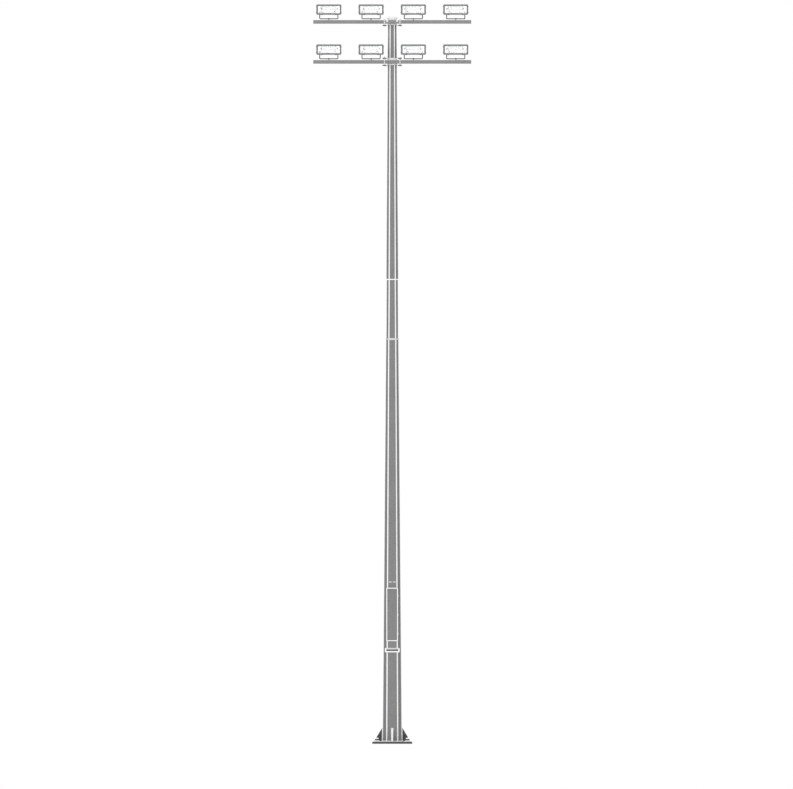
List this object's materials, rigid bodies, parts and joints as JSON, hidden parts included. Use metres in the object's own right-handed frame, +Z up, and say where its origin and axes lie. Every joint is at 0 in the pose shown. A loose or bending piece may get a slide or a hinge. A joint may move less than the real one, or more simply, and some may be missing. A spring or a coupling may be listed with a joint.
{
  "type": "high mast floodlight tower",
  "caption": "Eight-sided tapered steel mast on a gusseted base plate, with a service door and two cross arms of tilting floodlights.",
  "frame": {"origin": "middle of the base plate's underside", "axes": "+Z up the mast, +X along the cross arms, the floodlights and the service door face -Y"},
  "size_m": [3.496, 0.885, 16.3633],
  "materials": {
    "galvanised_steel": "hot-dip galvanised, satin",
    "dark_steel": "dark grey paint, satin",
    "door_steel": "galvanised sheet, satin",
    "bright_zinc": "zinc plated",
    "plate_aluminium": "satin",
    "lamp_housing": "powder coated die casting",
    "lamp_glass": "toughened, pale"
  },
  "bodies": {
    "root": {"base_plate": "dark_steel", "base_gussets": "dark_steel", "lower_shaft": "galvanised_steel", "middle_shaft": "galvanised_steel", "upper_shaft": "galvanised_steel", "mast_cap": "plate_aluminium", "door_frame": "door_steel", "door_hinge_pins": "door_steel", "drip_rail": "bright_zinc", "name_plate": "plate_aluminium", "upper_arm": "galvanised_steel", "lower_arm": "galvanised_steel", "arm_end_caps": "galvanised_steel", "arm_saddles": "galvanised_steel", "arm_ears": "dark_steel", "swivel_bolts": "bright_zinc"},
    "door": {"door": "door_steel", "door_locks": "bright_zinc"},
    "upper_lamp_1_swivel": {"upper_lamp_1_bracket": "dark_steel"},
    "upper_lamp_1_head": {"upper_lamp_1_housing": "lamp_housing", "upper_lamp_1_glass": "lamp_glass"},
    "upper_lamp_2_swivel": {"upper_lamp_2_bracket": "dark_steel"},
    "upper_lamp_2_head": {"upper_lamp_2_housing": "lamp_housing", "upper_lamp_2_glass": "lamp_glass"},
    "upper_lamp_3_swivel": {"upper_lamp_3_bracket": "dark_steel"},
    "upper_lamp_3_head": {"upper_lamp_3_housing": "lamp_housing", "upper_lamp_3_glass": "lamp_glass"},
    "upper_lamp_4_swivel": {"upper_lamp_4_bracket": "dark_steel"},
    "upper_lamp_4_head": {"upper_lamp_4_housing": "lamp_housing", "upper_lamp_4_glass": "lamp_glass"},
    "lower_lamp_1_swivel": {"lower_lamp_1_bracket": "dark_steel"},
    "lower_lamp_1_head": {"lower_lamp_1_housing": "lamp_housing", "lower_lamp_1_glass": "lamp_glass"},
    "lower_lamp_2_swivel": {"lower_lamp_2_bracket": "dark_steel"},
    "lower_lamp_2_head": {"lower_lamp_2_housing": "lamp_housing", "lower_lamp_2_glass": "lamp_glass"},
    "lower_lamp_3_swivel": {"lower_lamp_3_bracket": "dark_steel"},
    "lower_lamp_3_head": {"lower_lamp_3_housing": "lamp_housing", "lower_lamp_3_glass": "lamp_glass"},
    "lower_lamp_4_swivel": {"lower_lamp_4_bracket": "dark_steel"},
    "lower_lamp_4_head": {"lower_lamp_4_housing": "lamp_housing", "lower_lamp_4_glass": "lamp_glass"}
  },
  "joints": [
    {"name": "door_hinge", "type": "hinge", "parent": "root", "child": "door", "pos_m": [0.136, -0.20644, 2.862], "axis": [0, 0, 1], "range_deg": [0, 110]},
    {"name": "upper_lamp_1_swivel_bolt", "type": "hinge", "parent": "root", "child": "upper_lamp_1_swivel", "pos_m": [-1.404, -0.158, 16.2483], "axis": [0, 0, 1], "range_deg": [-45, 45]},
    {"name": "upper_lamp_1_tilt_bolts", "type": "hinge", "parent": "upper_lamp_1_swivel", "child": "upper_lamp_1_head", "pos_m": [-1.404, -0.158, 16.2483], "axis": [1, 0, 0], "range_deg": [-15, 35]},
    {"name": "upper_lamp_2_swivel_bolt", "type": "hinge", "parent": "root", "child": "upper_lamp_2_swivel", "pos_m": [-0.468, -0.158, 16.2483], "axis": [0, 0, 1], "range_deg": [-45, 45]},
    {"name": "upper_lamp_2_tilt_bolts", "type": "hinge", "parent": "upper_lamp_2_swivel", "child": "upper_lamp_2_head", "pos_m": [-0.468, -0.158, 16.2483], "axis": [1, 0, 0], "range_deg": [-15, 35]},
    {"name": "upper_lamp_3_swivel_bolt", "type": "hinge", "parent": "root", "child": "upper_lamp_3_swivel", "pos_m": [0.468, -0.158, 16.2483], "axis": [0, 0, 1], "range_deg": [-45, 45]},
    {"name": "upper_lamp_3_tilt_bolts", "type": "hinge", "parent": "upper_lamp_3_swivel", "child": "upper_lamp_3_head", "pos_m": [0.468, -0.158, 16.2483], "axis": [1, 0, 0], "range_deg": [-15, 35]},
    {"name": "upper_lamp_4_swivel_bolt", "type": "hinge", "parent": "root", "child": "upper_lamp_4_swivel", "pos_m": [1.404, -0.158, 16.2483], "axis": [0, 0, 1], "range_deg": [-45, 45]},
    {"name": "upper_lamp_4_tilt_bolts", "type": "hinge", "parent": "upper_lamp_4_swivel", "child": "upper_lamp_4_head", "pos_m": [1.404, -0.158, 16.2483], "axis": [1, 0, 0], "range_deg": [-15, 35]},
    {"name": "lower_lamp_1_swivel_bolt", "type": "hinge", "parent": "root", "child": "lower_lamp_1_swivel", "pos_m": [-1.404, -0.158, 15.3633], "axis": [0, 0, 1], "range_deg": [-45, 45]},
    {"name": "lower_lamp_1_tilt_bolts", "type": "hinge", "parent": "lower_lamp_1_swivel", "child": "lower_lamp_1_head", "pos_m": [-1.404, -0.158, 15.3633], "axis": [1, 0, 0], "range_deg": [-15, 35]},
    {"name": "lower_lamp_2_swivel_bolt", "type": "hinge", "parent": "root", "child": "lower_lamp_2_swivel", "pos_m": [-0.468, -0.158, 15.3633], "axis": [0, 0, 1], "range_deg": [-45, 45]},
    {"name": "lower_lamp_2_tilt_bolts", "type": "hinge", "parent": "lower_lamp_2_swivel", "child": "lower_lamp_2_head", "pos_m": [-0.468, -0.158, 15.3633], "axis": [1, 0, 0], "range_deg": [-15, 35]},
    {"name": "lower_lamp_3_swivel_bolt", "type": "hinge", "parent": "root", "child": "lower_lamp_3_swivel", "pos_m": [0.468, -0.158, 15.3633], "axis": [0, 0, 1], "range_deg": [-45, 45]},
    {"name": "lower_lamp_3_tilt_bolts", "type": "hinge", "parent": "lower_lamp_3_swivel", "child": "lower_lamp_3_head", "pos_m": [0.468, -0.158, 15.3633], "axis": [1, 0, 0], "range_deg": [-15, 35]},
    {"name": "lower_lamp_4_swivel_bolt", "type": "hinge", "parent": "root", "child": "lower_lamp_4_swivel", "pos_m": [1.404, -0.158, 15.3633], "axis": [0, 0, 1], "range_deg": [-45, 45]},
    {"name": "lower_lamp_4_tilt_bolts", "type": "hinge", "parent": "lower_lamp_4_swivel", "child": "lower_lamp_4_head", "pos_m": [1.404, -0.158, 15.3633], "axis": [1, 0, 0], "range_deg": [-15, 35]}
  ]
}
